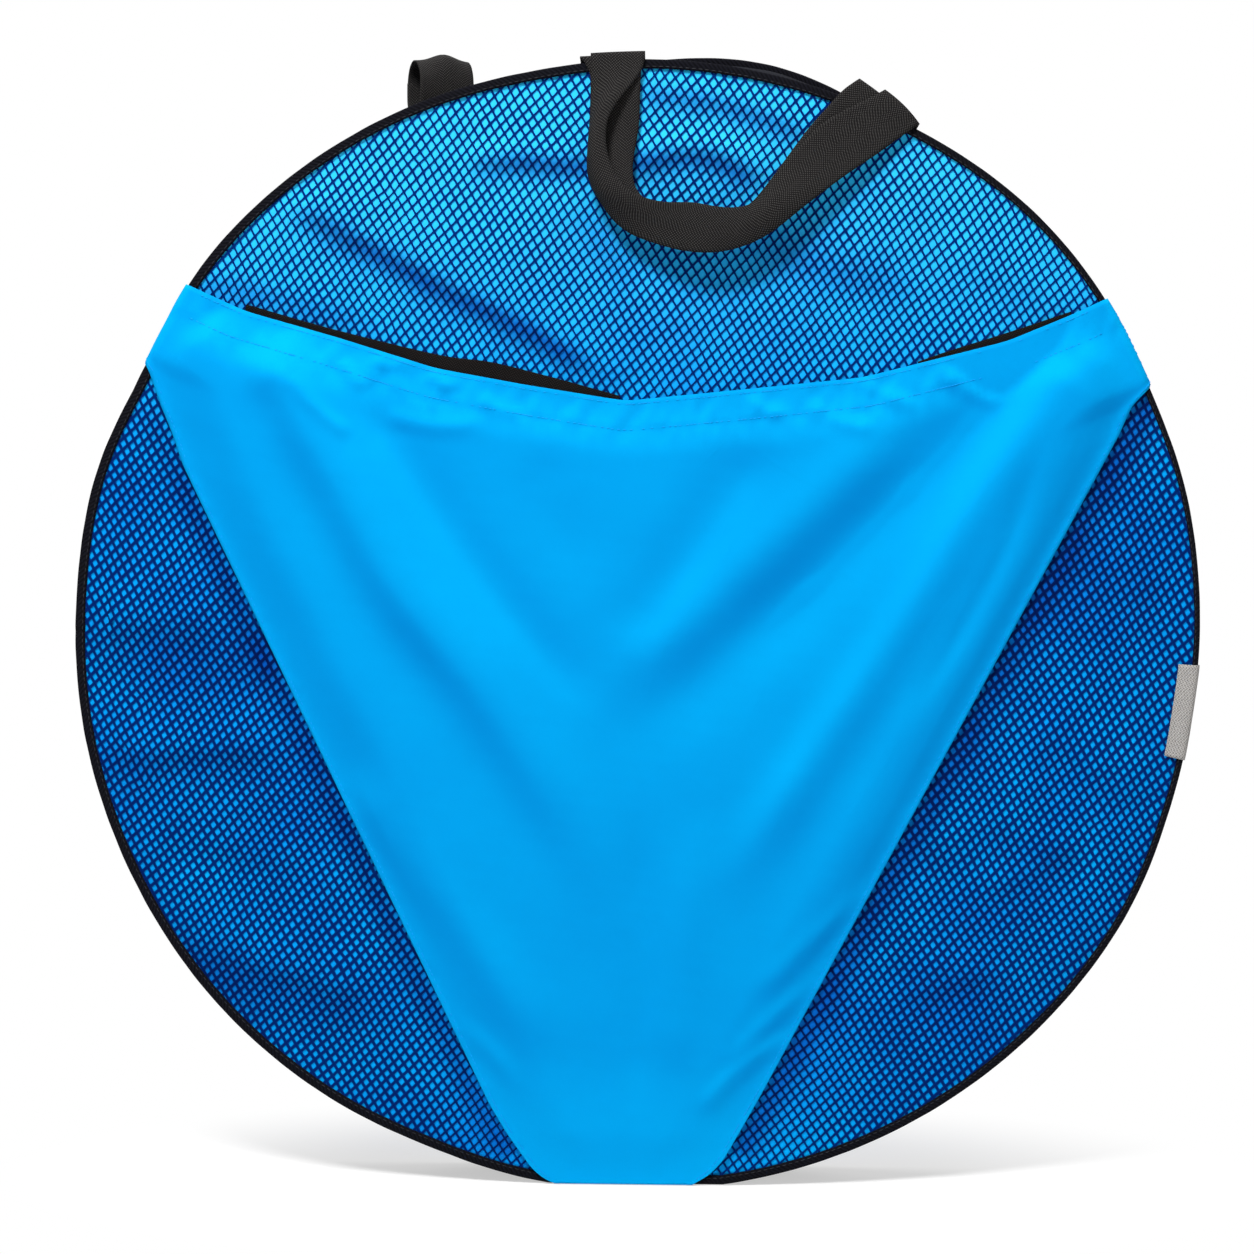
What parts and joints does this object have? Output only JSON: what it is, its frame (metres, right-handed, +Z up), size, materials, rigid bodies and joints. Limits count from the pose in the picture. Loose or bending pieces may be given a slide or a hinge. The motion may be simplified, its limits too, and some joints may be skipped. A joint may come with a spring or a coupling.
{
  "type": "roundnet set",
  "caption": "Round zipped carry bag with a mesh face, a three-cornered pocket and webbing handles, holding a folded roundnet with its legs, net, balls and pump.",
  "frame": {"origin": "middle of the bag's footprint, on the floor", "axes": "+Z up, -Y the front face with the pocket, +X to the right as seen from the front"},
  "size_m": [0.9601, 0.1269, 0.9616],
  "materials": {
    "mesh": "diamond mesh laid over the lining",
    "lining": "smooth woven nylon",
    "binding": "grosgrain binding",
    "gusset_cloth": "coated woven cloth",
    "pocket_cloth": "plain woven nylon",
    "closure_tape": "ribbed woven tape",
    "label_cloth": "woven satin, blank",
    "webbing": "herringbone webbing",
    "zip_plastic": "moulded nylon coil",
    "zip_metal": "black lacquered zinc",
    "rim_paint": "satin powder coat",
    "hub_plastic": "moulded nylon",
    "rubber": "matt moulded rubber",
    "bright_steel": "plated steel",
    "net_cord": "braided cord",
    "net_webbing": "woven webbing",
    "hook_plastic": "moulded nylon",
    "ball_skin": "pebbled soft skin",
    "pump_plastic": "moulded barrel",
    "pump_knob": "moulded knob"
  },
  "bodies": {
    "tray": {"back_mesh": "mesh", "back_lining": "lining", "back_binding": "binding", "gusset": "gusset_cloth", "base_strip": "gusset_cloth", "back_zip_half": "zip_plastic", "zip_end_stops": "zip_metal", "rear_handle_ends": "webbing", "playing_net": "net_cord", "net_border": "net_webbing", "net_hooks": "hook_plastic", "leg_pins": "bright_steel", "snap_buttons": "bright_steel", "ball_left": "ball_skin", "ball_middle": "ball_skin", "ball_right": "ball_skin", "pump_barrel": "pump_plastic", "pump_nozzle": "bright_steel", "rim_tube_1": "rim_paint", "rim_tube_2": "rim_paint", "rim_tube_3": "rim_paint", "rim_tube_4": "rim_paint", "rim_tube_5": "rim_paint", "leg_hub_1": "hub_plastic", "leg_hub_2": "hub_plastic", "leg_hub_3": "hub_plastic", "leg_hub_4": "hub_plastic", "leg_hub_5": "hub_plastic"},
    "cover": {"front_mesh": "mesh", "front_lining": "lining", "front_binding": "binding", "front_band": "gusset_cloth", "front_zip_half": "zip_plastic", "pocket": "pocket_cloth", "pocket_closure_strip": "closure_tape", "side_label": "label_cloth", "front_handle_ends": "webbing"},
    "front_handle": {"front_handle": "webbing"},
    "rear_handle": {"rear_handle": "webbing"},
    "zip_slider_right": {"zip_slider_right": "zip_metal"},
    "zip_slider_left": {"zip_slider_left": "zip_metal"},
    "zip_pull_right": {"zip_pull_right": "zip_metal"},
    "zip_pull_left": {"zip_pull_left": "zip_metal"},
    "pump_plunger": {"pump_plunger": "pump_knob"},
    "leg_1": {"leg_1": "rim_paint", "leg_foot_1": "rubber"},
    "leg_2": {"leg_2": "rim_paint", "leg_foot_2": "rubber"},
    "leg_3": {"leg_3": "rim_paint", "leg_foot_3": "rubber"},
    "leg_4": {"leg_4": "rim_paint", "leg_foot_4": "rubber"},
    "leg_5": {"leg_5": "rim_paint", "leg_foot_5": "rubber"}
  },
  "joints": [
    {"name": "cover_open", "type": "hinge", "parent": "tray", "child": "cover", "pos_m": [0, -0.0295, 0.0006], "axis": [1, 0, 0], "range_deg": [0, 80]},
    {"name": "front_handle_swing", "type": "hinge", "parent": "cover", "child": "front_handle", "pos_m": [-0.01545, -0.03755, 0.94061], "axis": [-0.977, 0, 0.213], "range_deg": [0, 165]},
    {"name": "rear_handle_swing", "type": "hinge", "parent": "tray", "child": "rear_handle", "pos_m": [0.0584, 0.03955, 0.93719], "axis": [0.9894, -0.0856, 0.1171], "range_deg": [0, 165]},
    {"name": "zip_right_run", "type": "hinge", "parent": "tray", "child": "zip_slider_right", "pos_m": [0, -0.017, 0.47487], "axis": [0, 1, 0], "range_deg": [0, 165]},
    {"name": "zip_pull_right_flip", "type": "hinge", "parent": "zip_slider_right", "child": "zip_pull_right", "pos_m": [-0.00455, -0.017, 0.95285], "axis": [0, -1, 0], "range_deg": [0, 150]},
    {"name": "zip_left_run", "type": "hinge", "parent": "tray", "child": "zip_slider_left", "pos_m": [0, -0.017, 0.47487], "axis": [0, -1, 0], "range_deg": [0, 162]},
    {"name": "zip_pull_left_flip", "type": "hinge", "parent": "zip_slider_left", "child": "zip_pull_left", "pos_m": [-0.02047, -0.017, 0.95243], "axis": [0, 1, 0], "range_deg": [0, 150]},
    {"name": "leg_1_fold", "type": "hinge", "parent": "tray", "child": "leg_1", "pos_m": [0, -0.012, 0.9004], "axis": [-1, 0, 0], "range_deg": [0, 95]},
    {"name": "leg_2_fold", "type": "hinge", "parent": "tray", "child": "leg_2", "pos_m": [-0.41846, -0.012, 0.59636], "axis": [-0.309, 0, -0.9511], "range_deg": [0, 95]},
    {"name": "leg_3_fold", "type": "hinge", "parent": "tray", "child": "leg_3", "pos_m": [-0.25863, -0.012, 0.10443], "axis": [0.809, 0, -0.5878], "range_deg": [0, 95]},
    {"name": "leg_4_fold", "type": "hinge", "parent": "tray", "child": "leg_4", "pos_m": [0.25863, -0.012, 0.10443], "axis": [0.809, 0, 0.5878], "range_deg": [0, 95]},
    {"name": "leg_5_fold", "type": "hinge", "parent": "tray", "child": "leg_5", "pos_m": [0.41846, -0.012, 0.59636], "axis": [-0.309, 0, 0.9511], "range_deg": [0, 95]},
    {"name": "pump_stroke", "type": "slide", "parent": "tray", "child": "pump_plunger", "axis": [1, 0, 0], "range_m": [0, 0.09]}
  ],
  "couplings": [
    {"joint": "leg_1_fold", "follows": "cover_open", "ratio": 1.1875},
    {"joint": "leg_2_fold", "follows": "cover_open", "ratio": 1.1875},
    {"joint": "leg_3_fold", "follows": "cover_open", "ratio": 1.1875},
    {"joint": "leg_4_fold", "follows": "cover_open", "ratio": 1.1875},
    {"joint": "leg_5_fold", "follows": "cover_open", "ratio": 1.1875}
  ]
}
